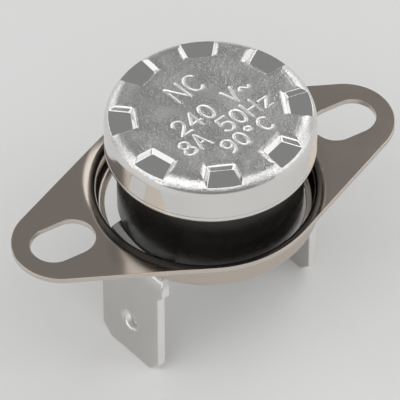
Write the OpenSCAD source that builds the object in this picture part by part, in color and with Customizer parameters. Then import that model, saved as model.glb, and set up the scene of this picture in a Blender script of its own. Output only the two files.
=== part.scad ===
// Snap-disc bimetal thermostat with a loose mounting bracket and two blade terminals.
// The origin is on the axis of the body, in the plane of the blade ends. +Z points at the sensing cap,
// and the bracket lies along X. Lengths are in millimetres.

/* [Cap] */
// How far the aluminium cap stands out round the body
cap_step = 0.9; // [0.7:0.05:1.2]
// Height of the cap from its crimped rim to the sensing face
cap_h = 3.85; // [3.6:0.05:4.2]
// Sheet thickness of the cap
cap_wall = 0.4; // [0.35:0.05:0.45]
// Outside radius of the edge round the sensing face
cap_edge_r = 1.35; // [1:0.05:1.5]
// Outside radius of the crimped rim
cap_rim_r = 0.3; // [0.2:0.05:0.4]
// Number of notches pressed into the edge of the sensing face
notch_count = 8; // [4:1:10]
// Depth of a notch below the sensing face
notch_depth = 0.45; // [0.35:0.05:0.5]
// How far the floor of a notch reaches inwards from the side of the cap
notch_reach = 2.05; // [1.8:0.05:2.3]
// Width of a notch floor at its inner end
notch_inner_w = 1.75; // [1.2:0.05:2.2]
// Width of a notch floor at the side of the cap
notch_outer_w = 2.85; // [2.4:0.05:3.4]
// How far the walls of a notch lean out from its floor to its mouth
notch_draft = 0.25; // [0.15:0.05:0.4]
// Turn of the first notch from the X axis
notch_turn = 22; // [0:1:44]

/* [Body] */
// Diameter of the moulded body below the cap
body_d = 14; // [13:0.1:15]
// Height of the body between the terminals and the rim of the cap
body_h = 6.1; // [5.8:0.1:6.6]
// Thickness of the flange that the cap is crimped round
flange_h = 0.55; // [0.45:0.05:0.7]
// Wall thickness of the switch chamber
chamber_wall = 1.4; // [1:0.1:1.8]
// Thickness of the chamber floor
floor_h = 1.6; // [1.3:0.1:1.8]
// Width of the insulating rib between the terminals
rib_w = 1.4; // [1:0.1:1.6]
// Height of the insulating rib
rib_h = 1.2; // [0.8:0.1:1.6]
// Chamfer round the foot of the body
body_chamfer = 0.3; // [0.1:0.05:0.4]

/* [Guide plate] */
// Depth of the spigot that centres the guide plate in the chamber
spigot_h = 0.7; // [0.6:0.05:0.8]
// Depth of the disc seat below the rim of the guide plate
seat_depth = 0.75; // [0.7:0.05:0.8]
// Width of the ledge that the disc stands on
ledge_w = 0.5; // [0.3:0.05:0.7]
// Diameter of the boss round the pin
boss_d = 3.2; // [2.8:0.1:3.4]
// Height of the boss below the spigot
boss_h = 0.3; // [0.2:0.05:0.5]

/* [Bimetal disc] */
// Diameter of the snap disc
disc_d = 12.6; // [12.2:0.1:12.8]
// Thickness of the snap disc
disc_t = 0.25; // [0.15:0.05:0.3]
// Rise of the disc at its centre when cold
disc_rise = 0.5; // [0.4:0.05:0.55]

/* [Transfer pin] */
// Diameter of the ceramic pin
pin_d = 2; // [1.6:0.1:2.2]
// Travel of the pin when the disc snaps
pin_travel = 0.3; // [0.2:0.05:0.35]

/* [Contacts] */
// Thickness of the springy contact arm
arm_t = 0.25; // [0.2:0.05:0.3]
// Width of the contact arm
arm_w = 2.8; // [2.4:0.1:3.2]
// How far the arm runs on past the edge of its contact
arm_tip = 0.12; // [0.05:0.01:0.2]
// Diameter of a contact button
contact_d = 2.2; // [1.8:0.1:2.2]
// Height of a contact button
contact_h = 0.6; // [0.5:0.05:0.65]
// Diameter of the stem of a contact
contact_stem_d = 1.2; // [1:0.1:1.4]
// Thickness of the strip that carries the fixed contact
strip_t = 0.6; // [0.5:0.05:0.65]
// Width of the strip
strip_w = 2.8; // [2.6:0.1:3]
// Inside radius of the folds in the strip
strip_fold_r = 0.25; // [0.15:0.05:0.3]

/* [Terminals] */
// Width of a blade
blade_w = 6.3; // [6.1:0.1:6.5]
// Thickness of a terminal
blade_t = 0.8; // [0.7:0.05:0.9]
// Height of the body above the ends of the blades
blade_drop = 10.8; // [9.5:0.1:12]
// Distance between the outer faces of the blades
blade_span = 16.2; // [15.8:0.1:16.6]
// Width across the stops at the top of a blade
stop_w = 7.3; // [6.7:0.1:7.5]
// Height of the stops above the blade end
stop_z = 8.3; // [7.8:0.1:8.4]
// Height of a stop from its foot to its top
stop_h = 1.9; // [1.4:0.1:2]
// Inside radius of the fold at the top of a blade
blade_fold_r = 0.7; // [0.5:0.1:0.8]
// Chamfer at the corners of a blade end
blade_chamfer = 0.9; // [0.5:0.1:1.2]
// Bevel on the thickness of a blade end
blade_bevel = 0.2; // [0.1:0.05:0.3]
// Diameter of the detent hole in a blade
detent_d = 1.8; // [1.4:0.1:2]
// Height of the detent hole above the blade end
detent_z = 3.6; // [3:0.1:4.5]
// Turn of the terminals and the switch from the X axis
switch_turn = 11; // [0:1:20]

/* [Rivets] */
// Diameter of a rivet shank
rivet_d = 2; // [1.8:0.1:2.2]
// Diameter of the formed head in the chamber
rivet_inner_d = 2.6; // [2.5:0.05:2.8]
// Height of the formed head in the chamber
rivet_inner_h = 0.35; // [0.25:0.05:0.4]
// Diameter of the rolled head on the terminal
rivet_outer_d = 3.2; // [2.9:0.1:3.4]
// Height of the rolled head on the terminal
rivet_outer_h = 0.45; // [0.35:0.05:0.6]
// Diameter of the hollow end of a rivet
rivet_bore_d = 1.4; // [1.2:0.1:1.5]
// Depth of the hollow end of a rivet
rivet_bore_h = 1.4; // [1:0.1:1.8]

/* [Bracket] */
// Sheet thickness of the bracket
plate_t = 0.45; // [0.4:0.05:0.5]
// Distance between the centres of the screw slots
slot_pitch = 24.4; // [23.8:0.1:25.2]
// Width of a screw slot
slot_w = 3.5; // [3.2:0.1:3.8]
// Length of a screw slot from end to end
slot_l = 5; // [4.6:0.1:5.4]
// Radius of the rounded end of an ear
ear_r = 3.85; // [3.5:0.05:4.2]
// Width of flat sheet left beside the collar
collar_margin = 0.1; // [0.05:0.05:0.4]
// Radius of the top of the fold into the collar
collar_fold_r = 0.7; // [0.6:0.05:0.8]
// Inside radius of the fold between the collar and its lip
lip_fold_r = 0.35; // [0.2:0.05:0.4]
// Depth of the collar from the plate to the underside of the lip
collar_depth = 2.65; // [2.4:0.05:2.9]
// Gap round the cap inside the collar
collar_gap = 0.3; // [0.2:0.05:0.4]
// Gap round the body inside the lip
lip_gap = 0.55; // [0.5:0.05:0.6]
// How far the loose bracket has dropped to one side
bracket_shift = 0.45; // [0:0.05:0.45]

/* [Clearances] */
// Gap between pieces that are fitted together
fit_gap = 0.05; // [0.03:0.01:0.06]
// Gap between moving faces that meet
touch_gap = 0.02; // [0.01:0.01:0.03]
// Gap between the bracket and the terminals that it hangs on
hang_gap = 0.05; // [0.03:0.01:0.08]
// Gap that the disc keeps to the guide plate when it snaps
snap_gap = 0.15; // [0.1:0.01:0.2]
// Gap between the contact strip and the moulded pieces round it
strip_gap = 0.15; // [0.1:0.01:0.2]
// Gap between the feet of the terminals and the rib
rib_gap = 0.2; // [0.1:0.05:0.4]

/* [Hidden] */
$fn = 96;
// Cutting tools run past the faces that they cut by this much
over = 1;

// Radii and half widths
body_r = body_d / 2;
cap_r = body_r + cap_step;
cap_bore_r = cap_r - cap_wall;
bore_edge_r = cap_edge_r - cap_wall;
chamber_r = body_r - chamber_wall;
flange_r = cap_bore_r - fit_gap;
disc_r = disc_d / 2;
seat_r = disc_r + 3 * fit_gap;
dish_r = disc_r - ledge_w;
strip_reach = sqrt(pow(chamber_r, 2) - pow(strip_w / 2, 2)) - strip_gap;
rivet_offset = strip_reach - strip_t - strip_fold_r - rivet_inner_d / 2 - fit_gap;
arm_root = rivet_offset - rivet_inner_d / 2 - fit_gap;
contact_offset = rivet_offset;
arm_reach = contact_offset + contact_d / 2 + arm_tip;
foot_r = rivet_offset - rib_w / 2 - rib_gap;
rivet_hole_r = rivet_d / 2 + fit_gap;
stem_hole_r = contact_stem_d / 2 + fit_gap;
blade_face = blade_span / 2;
fold_start = blade_face - blade_t - blade_fold_r;
lip_r = body_r + lip_gap;
collar_r = cap_r + collar_gap;
flat_r = collar_r + collar_fold_r;
ring_r = flat_r + collar_margin;
slot_x = slot_pitch / 2;

// Heights, from the blade ends up
body_z = blade_drop;
chamber_z = body_z + floor_h;
cap_z = body_z + body_h;
cap_top = cap_z + cap_h;
shoulder_z = cap_z + cap_wall + fit_gap;
body_top = shoulder_z + flange_h;
bore_top = cap_top - cap_wall;
guide_top = bore_top - notch_depth - fit_gap;
seat_z = guide_top - seat_depth;
dish_z = seat_z - disc_rise - snap_gap;
spigot_z = body_top - spigot_h;
strip_top = spigot_z - boss_h - strip_gap;
shelf_z = strip_top - strip_t;
arm_top = shelf_z - 2 * contact_h - touch_gap;
arm_z = arm_top - arm_t;
pin_top = seat_z - disc_rise + pin_travel;
pin_foot = arm_top + touch_gap;
lip_z = body_z + hang_gap;
plate_top = lip_z + collar_depth;

// One quarter of a flat ring, in the first quadrant, for the section of a fold
module quarter_ring(inner, thickness) {
    intersection() {
        difference() {
            circle(inner + thickness);
            circle(inner);
        }
        square(inner + thickness);
    }
}

// A rectangle from the axis out to w, with its upper outer corner rounded
module topped_block(w, h, top_r) {
    square([w, h - top_r]);
    square([w - top_r, h]);
    translate([w - top_r, h - top_r]) circle(top_r);
}

// Sheet metal: the section in the XZ plane, drawn out to a width along Y
module across(width) {
    translate([0, width / 2, 0]) rotate([90, 0, 0]) linear_extrude(width) children();
}

// The wedge that presses one notch, with a level floor and walls that lean.
// It is grown by the sheet thickness for the underside.
module notch_wedge(grow) {
    z_floor = cap_top - notch_depth - grow;
    z_top = cap_top + over;
    lean = notch_draft / notch_depth * (z_top - z_floor);
    reach = notch_reach + grow;
    inner = notch_inner_w / 2 + grow;
    flare = (notch_outer_w / 2 + grow - inner) / reach;
    x_in = cap_r - reach;
    x_out = cap_r + over;
    x_top = x_in - lean;
    outer = inner + flare * (x_out - x_in);
    inner_top = inner + lean - flare * lean;
    outer_top = outer + lean;
    polyhedron([[x_in, -inner, z_floor], [x_out, -outer, z_floor],
                [x_out, outer, z_floor], [x_in, inner, z_floor],
                [x_top, -inner_top, z_top], [x_out, -outer_top, z_top],
                [x_out, outer_top, z_top], [x_top, inner_top, z_top]],
               [[0, 1, 2, 3], [7, 6, 5, 4], [0, 4, 5, 1], [1, 5, 6, 2], [2, 6, 7, 3], [3, 7, 4, 0]]);
}

module notches(grow) {
    for (i = [0 : notch_count - 1])
        rotate([0, 0, notch_turn + i * 360 / notch_count]) notch_wedge(grow);
}

// Drawn aluminium cup, with its rim crimped under the flange of the body
module sensing_cap() {
    color("gainsboro") difference() {
        translate([0, 0, cap_z]) rotate_extrude() intersection() {
            topped_block(cap_r, cap_h, cap_edge_r);
            translate([0, cap_h]) mirror([0, 1]) topped_block(cap_r, cap_h, cap_rim_r);
        }
        notches(0);
        difference() {
            translate([0, 0, cap_z + cap_wall]) rotate_extrude()
                topped_block(cap_bore_r, cap_h - 2 * cap_wall, bore_edge_r);
            notches(cap_wall);
        }
        translate([0, 0, cap_z - over]) cylinder(r = body_r + fit_gap, h = over + 2 * cap_wall);
    }
}

// Snap disc: a shallow dome whose rim stands on the guide plate
module bimetal_disc() {
    ball_r = (disc_r * disc_r + disc_rise * disc_rise) / (2 * disc_rise);
    color("slategray") intersection() {
        translate([0, 0, seat_z + disc_rise - ball_r]) difference() {
            sphere(ball_r + disc_t);
            sphere(ball_r);
        }
        translate([0, 0, seat_z]) cylinder(r = disc_r, h = disc_rise + disc_t + over);
    }
}

// Moulded plate that seats the disc and guides the pin, rounded to fit the edge of the cap
module guide_plate() {
    color("saddlebrown") difference() {
        union() {
            translate([0, 0, body_top]) rotate_extrude() intersection() {
                topped_block(flange_r, bore_top - fit_gap - body_top, bore_edge_r - fit_gap);
                square([flange_r, guide_top - body_top]);
            }
            translate([0, 0, spigot_z]) cylinder(r = chamber_r - fit_gap, h = spigot_h);
            translate([0, 0, spigot_z - boss_h]) cylinder(d = boss_d, h = boss_h);
        }
        translate([0, 0, seat_z]) cylinder(r = seat_r, h = seat_depth + over);
        translate([0, 0, dish_z]) cylinder(r = dish_r, h = seat_z - dish_z + over);
        translate([0, 0, spigot_z - boss_h - over])
            cylinder(r = pin_d / 2 + fit_gap, h = dish_z - spigot_z + boss_h + 2 * over);
    }
}

// Ceramic pin with a domed foot that presses on the arm
module transfer_pin() {
    color("ivory") union() {
        translate([0, 0, pin_foot + pin_d / 2]) cylinder(d = pin_d, h = pin_top - pin_foot - pin_d / 2);
        translate([0, 0, pin_foot + pin_d / 2]) sphere(d = pin_d);
    }
}

// Moulded phenolic cup with the arm's pad, the rivet holes and the rib between the terminals
module switch_body() {
    color([0.06, 0.06, 0.06]) difference() {
        union() {
            difference() {
                union() {
                    translate([0, 0, body_z + body_chamfer])
                        cylinder(r = body_r, h = body_top - body_z - body_chamfer);
                    translate([0, 0, body_z])
                        cylinder(r1 = body_r - body_chamfer, r2 = body_r, h = body_chamfer);
                    translate([0, 0, shoulder_z]) cylinder(r = flange_r, h = flange_h);
                }
                translate([0, 0, chamber_z]) cylinder(r = chamber_r, h = body_top - chamber_z + over);
            }
            rotate([0, 0, switch_turn]) {
                intersection() {
                    translate([-body_r, -arm_w / 2 - fit_gap, chamber_z - floor_h / 2])
                        cube([body_r - arm_root, arm_w + 2 * fit_gap, arm_z - chamber_z + floor_h / 2]);
                    cylinder(r = (body_r + chamber_r) / 2, h = arm_z);
                }
                intersection() {
                    translate([-rib_w / 2, -body_r, body_z - rib_h])
                        cube([rib_w, 2 * body_r, rib_h + floor_h / 2]);
                    translate([0, 0, body_z - rib_h])
                        cylinder(r = body_r - 4 * body_chamfer, h = rib_h + floor_h);
                }
            }
        }
        rotate([0, 0, switch_turn]) for (side = [-1, 1])
            translate([side * rivet_offset, 0, body_z - over])
                cylinder(r = rivet_hole_r, h = arm_z - body_z + 2 * over);
    }
}

// Springy arm, held at its root by a rivet and free at the contact
module contact_arm() {
    color("peru") rotate([0, 0, switch_turn]) translate([0, 0, arm_z]) linear_extrude(arm_t) difference() {
        union() {
            translate([-rivet_offset, 0]) circle(d = arm_w);
            translate([-rivet_offset, -arm_w / 2]) square([rivet_offset + arm_reach - arm_w / 2, arm_w]);
            translate([arm_reach - arm_w / 2, 0]) circle(d = arm_w);
        }
        translate([-rivet_offset, 0]) circle(rivet_hole_r);
        translate([contact_offset, 0]) circle(stem_hole_r);
    }
}

// Contact button with a stem through its carrier and a small formed head behind it
module contact_rivet(carrier_t) {
    head_h = contact_h / 3;
    head_d = 2 * stem_hole_r + contact_h / 2;
    color("silver") {
        cylinder(d = contact_d, h = contact_h);
        translate([0, 0, -carrier_t - head_h / 2]) cylinder(d = contact_stem_d, h = carrier_t + head_h);
        translate([0, 0, -carrier_t - head_h]) cylinder(d = head_d, h = head_h);
    }
}

module moving_contact() {
    rotate([0, 0, switch_turn]) translate([contact_offset, 0, arm_top]) contact_rivet(arm_t);
}

module fixed_contact() {
    rotate([0, 0, switch_turn]) translate([contact_offset, 0, shelf_z])
        mirror([0, 0, 1]) contact_rivet(strip_t);
}

// Folded strip that carries the fixed contact over the end of the arm
module contact_strip() {
    fold_out = strip_fold_r + strip_t;
    fold_x = strip_reach - fold_out;
    foot_x = rivet_offset - rivet_inner_d / 2 - fit_gap;
    shelf_x = contact_offset - contact_d / 2;
    color("goldenrod") rotate([0, 0, switch_turn]) difference() {
        across(strip_w) {
            translate([foot_x, chamber_z]) square([fold_x - foot_x, strip_t]);
            translate([fold_x, chamber_z + fold_out]) mirror([0, 1]) quarter_ring(strip_fold_r, strip_t);
            translate([strip_reach - strip_t, chamber_z + fold_out])
                square([strip_t, strip_top - chamber_z - 2 * fold_out]);
            translate([fold_x, strip_top - fold_out]) quarter_ring(strip_fold_r, strip_t);
            translate([shelf_x, shelf_z]) square([fold_x - shelf_x, strip_t]);
        }
        translate([rivet_offset, 0, chamber_z - over]) cylinder(r = rivet_hole_r, h = strip_t + 2 * over);
        translate([contact_offset, 0, shelf_z - over]) cylinder(r = stem_hole_r, h = strip_t + 2 * over);
    }
}

// Blade terminal: a foot riveted under the body, folded down into a blade
module terminal() {
    under_z = body_z - blade_t;
    fold_z = under_z - blade_fold_r;
    half_w = blade_w / 2;
    stop_out = (stop_w - blade_w) / 2;
    taper_x = rivet_offset + foot_r / 2;
    module blade_half() {
        polygon([[-over, 0], [half_w - blade_chamfer, 0], [half_w, blade_chamfer],
                 [half_w, stop_z], [half_w + stop_out, stop_z + stop_out],
                 [half_w + stop_out, stop_z + stop_h - stop_out], [half_w, stop_z + stop_h],
                 [half_w, body_z], [-over, body_z]]);
    }
    module blade_outline() {
        blade_half();
        mirror([1, 0]) blade_half();
    }
    module blade_section() {
        polygon([[blade_face - blade_t, fold_z], [blade_face - blade_t, blade_bevel],
                 [blade_face - blade_t + blade_bevel, 0], [blade_face - blade_bevel, 0],
                 [blade_face, blade_bevel], [blade_face, fold_z]]);
        translate([fold_start, fold_z]) quarter_ring(blade_fold_r, blade_t);
    }
    difference() {
        union() {
            translate([0, 0, under_z]) linear_extrude(blade_t) {
                translate([rivet_offset, 0]) circle(foot_r);
                polygon([[rivet_offset, -foot_r], [taper_x, -half_w], [fold_start, -half_w],
                         [fold_start, half_w], [taper_x, half_w], [rivet_offset, foot_r]]);
            }
            intersection() {
                across(stop_w) blade_section();
                rotate([90, 0, 90]) linear_extrude(blade_face + over) blade_outline();
            }
        }
        translate([rivet_offset, 0, under_z - over]) cylinder(r = rivet_hole_r, h = blade_t + 2 * over);
        translate([blade_face - blade_t - over, 0, detent_z]) rotate([0, 90, 0])
            cylinder(d = detent_d, h = blade_t + 2 * over);
    }
}

module arm_terminal() {
    color("lightgray") rotate([0, 0, switch_turn + 180]) terminal();
}

module strip_terminal() {
    color("lightgray") rotate([0, 0, switch_turn]) terminal();
}

// Semi-tubular rivet from the underside of a terminal up through a stack that ends at top_z
module rivet(top_z) {
    foot_z = body_z - blade_t - rivet_outer_h;
    roll = rivet_outer_h * 0.6;
    color("silver") translate([0, 0, foot_z]) difference() {
        union() {
            cylinder(d = rivet_d, h = top_z - foot_z + rivet_inner_h / 2);
            translate([0, 0, top_z - foot_z]) cylinder(d = rivet_inner_d, h = rivet_inner_h);
            rotate_extrude() {
                translate([0, rivet_outer_h - roll]) square([rivet_outer_d / 2, roll]);
                square([rivet_outer_d / 2 - rivet_outer_h + roll, rivet_outer_h]);
                translate([rivet_outer_d / 2 - rivet_outer_h + roll, rivet_outer_h - roll])
                    circle(rivet_outer_h - roll);
            }
        }
        translate([0, 0, -over]) cylinder(d = rivet_bore_d, h = rivet_bore_h + over);
    }
}

module arm_rivet() {
    rotate([0, 0, switch_turn]) translate([-rivet_offset, 0, 0]) rivet(arm_top);
}

module strip_rivet() {
    rotate([0, 0, switch_turn]) translate([rivet_offset, 0, 0]) rivet(chamber_z + strip_t);
}

// Outline of the bracket: a disc and two ears, joined by straight sides.
// The sides start a hair inside the rounds, so that they cross them instead of only touching.
module bracket_outline() {
    hair = 0.01;
    lean = acos((ring_r - ear_r) / slot_x);
    ring_p = (ring_r - hair) * [cos(lean), sin(lean)];
    ear_p = [slot_x, 0] + (ear_r - hair) * [cos(lean), sin(lean)];
    circle(ring_r);
    for (side = [-1, 1]) translate([side * slot_x, 0]) circle(ear_r);
    polygon([ear_p, ring_p, [-ring_p[0], ring_p[1]], [-ear_p[0], ear_p[1]],
             [-ear_p[0], -ear_p[1]], [-ring_p[0], -ring_p[1]],
             [ring_p[0], -ring_p[1]], [ear_p[0], -ear_p[1]]]);
}

// Section of the drawn sheet from the lip, up the collar and out across the plate
module bracket_section() {
    lip_top = lip_z + plate_t;
    plate_z = plate_top - plate_t;
    under_r = collar_fold_r - plate_t;
    lip_x = collar_r - lip_fold_r;
    wall_z = lip_top + lip_fold_r;
    translate([lip_r, lip_z]) square([lip_x - lip_r, plate_t]);
    translate([lip_x, wall_z]) mirror([0, 1]) quarter_ring(lip_fold_r, plate_t);
    translate([collar_r, wall_z]) square([plate_t, plate_top - collar_fold_r - wall_z]);
    translate([flat_r, plate_top - collar_fold_r]) mirror([1, 0]) quarter_ring(under_r, plate_t);
    translate([flat_r, plate_z]) square([slot_x + ear_r + over - flat_r, plate_t]);
}

module screw_slot() {
    run = slot_l - slot_w;
    for (end = [-1, 1]) translate([end * run / 2, 0]) circle(d = slot_w);
    square([run, slot_w], center = true);
}

// Loose bracket: drawn sheet trimmed to its outline and pierced for the screws
module mounting_bracket() {
    color([0.5, 0.48, 0.45]) translate([-bracket_shift, 0, 0]) intersection() {
        rotate_extrude() bracket_section();
        translate([0, 0, lip_z - over]) linear_extrude(collar_depth + 2 * over) difference() {
            bracket_outline();
            for (side = [-1, 1]) translate([side * slot_x, 0]) screw_slot();
        }
    }
}

sensing_cap();
bimetal_disc();
guide_plate();
transfer_pin();
switch_body();
contact_arm();
moving_contact();
fixed_contact();
contact_strip();
arm_terminal();
strip_terminal();
arm_rivet();
strip_rivet();
mounting_bracket();
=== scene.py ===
"""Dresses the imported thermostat: pressed and stamped metal, moulded phenolic, studio light and the camera.

Every surface is worked out in millimetres on numpy grids and written to the scene in metres.
"""

import logging
import math
from dataclasses import dataclass, field
from enum import Enum
from typing import Callable

import bpy
import numpy as np
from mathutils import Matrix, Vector
from mathutils.geometry import delaunay_2d_cdt


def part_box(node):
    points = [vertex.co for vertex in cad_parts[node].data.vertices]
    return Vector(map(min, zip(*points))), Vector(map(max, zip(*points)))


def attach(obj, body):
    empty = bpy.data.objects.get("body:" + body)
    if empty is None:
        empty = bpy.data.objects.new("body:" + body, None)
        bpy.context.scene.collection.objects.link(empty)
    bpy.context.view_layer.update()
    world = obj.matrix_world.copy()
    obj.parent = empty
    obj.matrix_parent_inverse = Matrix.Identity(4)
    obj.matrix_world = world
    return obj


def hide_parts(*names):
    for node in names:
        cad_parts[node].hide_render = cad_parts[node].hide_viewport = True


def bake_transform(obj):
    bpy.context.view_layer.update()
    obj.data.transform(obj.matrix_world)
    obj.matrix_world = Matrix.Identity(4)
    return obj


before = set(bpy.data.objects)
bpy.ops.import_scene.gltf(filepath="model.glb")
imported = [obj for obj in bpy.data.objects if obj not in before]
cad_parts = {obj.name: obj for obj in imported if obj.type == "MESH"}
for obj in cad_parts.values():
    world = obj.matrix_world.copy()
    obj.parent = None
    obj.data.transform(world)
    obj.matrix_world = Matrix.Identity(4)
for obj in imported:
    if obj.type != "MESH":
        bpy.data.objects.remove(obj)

LOG = logging.getLogger("thermostat")
MM = 0.001
IMAGE_PX = 400

# Turn of the body and its blades against the bracket, in degrees.
SWITCH_TURN = 11.0

# Distance under which two places count as one, and the decimal places at which vertices are welded.
CLOSE = 1e-6
WELD_DIGITS = 5

# Width of the narrow rows beside a rounded edge, which keep its shading crisp.
SUPPORT = 0.02

# Points on each straight line between two arcs of a contour, with its ends.
SIDE_POINTS = 26


class Body(Enum):
    """Rigid bodies that the dressed pieces ride on."""

    SWITCH = "switch"
    ARM = "arm"
    BRACKET = "bracket"


class Skin(Enum):
    """Vertex attributes that the materials read."""

    POLISH = "polish"
    STAMP = "stamp"
    SHEAR = "shear"


class Op(Enum):
    """Sums that the materials work out, by the names that their nodes go by."""

    ADD = "ADD"
    SUBTRACT = "SUBTRACT"
    MULTIPLY = "MULTIPLY"
    MAXIMUM = "MAXIMUM"


@dataclass
class Surface:
    """A mesh in millimetres.

    Args:
        points: Vertices, one row of x, y and z each.
        faces: Arrays of vertex numbers, with three or four columns each.
        layers: Vertex attributes by name, one value for each vertex.
    """

    points: np.ndarray
    faces: list[np.ndarray]
    layers: dict[str, np.ndarray] = field(default_factory=dict)

    def joined(self, other: "Surface") -> "Surface":
        """Puts another surface beside this one in a single mesh.

        Args:
            other: The surface to add. Attributes that only one of the two has are 0 on the other.

        Returns:
            A new surface that holds both.
        """
        both, shift = (self, other), len(self.points)
        layers = {
            name: np.concatenate([s.layers.get(name, np.zeros(len(s.points))) for s in both])
            for name in sorted(set(self.layers) | set(other.layers))
        }
        faces = self.faces + [f + shift for f in other.faces]
        return Surface(np.vstack([self.points, other.points]), faces, layers)

    def welded(self) -> "Surface":
        """Makes one vertex of all those that lie in the same place.

        Returns:
            A new surface with shared vertices, found by their rounded places.
        """
        rounded = np.round(self.points, WELD_DIGITS)
        _, first, place = np.unique(rounded, axis=0, return_index=True, return_inverse=True)
        place = place.ravel()
        layers = {name: values[first] for name, values in self.layers.items()}
        return Surface(self.points[first], [place[f] for f in self.faces], layers)

    def turned(self, degrees: float) -> "Surface":
        """Turns the surface about the Z axis.

        Args:
            degrees: Turn, anticlockwise seen from above.

        Returns:
            The turned surface.
        """
        c, s = math.cos(math.radians(degrees)), math.sin(math.radians(degrees))
        turn = np.array([[c, s, 0.0], [-s, c, 0.0], [0.0, 0.0, 1.0]])
        return Surface(self.points @ turn, self.faces, self.layers)


def grid_faces(rows: int, columns: int) -> np.ndarray:
    """Four-sided faces of a grid whose columns close on themselves.

    Args:
        rows: Number of rows of vertices.
        columns: Number of vertices in each closed row.

    Returns:
        Vertex numbers, four for each face, for vertices stored row by row.
    """
    row, column = np.meshgrid(np.arange(rows - 1), np.arange(columns), indexing="ij")
    after = (column + 1) % columns
    here, below = row * columns, (row + 1) * columns
    return np.stack([here + column, below + column, below + after, here + after], axis=-1).reshape(-1, 4)


def smooth_step(t: np.ndarray) -> np.ndarray:
    """Rises from 0 to 1 over the same stretch of t, level at both ends.

    Args:
        t: Any values.

    Returns:
        Of t held to 0..1, six times the fifth power, less fifteen times the fourth, plus ten times the
        third.
    """
    t = np.clip(t, 0.0, 1.0)
    return t * t * t * (t * (6.0 * t - 15.0) + 10.0)


def soft_min(a: np.ndarray, b: np.ndarray, width: float) -> np.ndarray:
    """The lower of two heights, with the crease where they cross rounded off.

    Args:
        a: First heights.
        b: Second heights.
        width: Difference of height over which the crease is rounded.

    Returns:
        The lower height, less a quarter of the squared overlap of the two over the width.
    """
    overlap = np.maximum(width - np.abs(a - b), 0.0) / width
    return np.minimum(a, b) - overlap * overlap * width / 4.0


def quarter(count: int) -> np.ndarray:
    """Angles over a quarter turn, ends left out, in radians."""
    return np.linspace(0.0, math.pi / 2, count + 2)[1:-1]


def full_turn(count: int) -> np.ndarray:
    """Angles evenly spaced round a full turn, in radians."""
    return np.arange(count) * 2.0 * math.pi / count


def polar(radius: np.ndarray | float, angle: np.ndarray, *height: np.ndarray) -> np.ndarray:
    """Places round the Z axis: radius times cosine, radius times sine, and the height if there is one."""
    return np.stack([radius * np.cos(angle), radius * np.sin(angle), *height], -1)


def oval(x: float, y: float, rx: float, ry: float, start: float = 0.0, end: float = 360.0,
         count: int = 17) -> np.ndarray:
    """Points along part of an oval: the centre plus each half-width times the cosine or the sine.

    Args:
        x: Centre, across.
        y: Centre, up.
        rx: Half the width.
        ry: Half the height.
        start: Angle of the first point, in degrees.
        end: Angle of the last point, in degrees.
        count: Number of points.

    Returns:
        Places, one row of two each.
    """
    angle = np.radians(np.linspace(start, end, count))
    return np.column_stack([x + rx * np.cos(angle), y + ry * np.sin(angle)])


def revolved(section: np.ndarray, angle: np.ndarray) -> Surface:
    """Turns a section about the Z axis.

    Args:
        section: Radius and height of each point in order, the outside of the metal on its left.
        angle: Angles of the columns of points round the axis, in radians.

    Returns:
        The surface of revolution.
    """
    points = polar(section[:, :1], angle, section[:, 1:] + 0.0 * angle)
    return Surface(points.reshape(-1, 3), [grid_faces(len(section), len(angle))])


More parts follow.
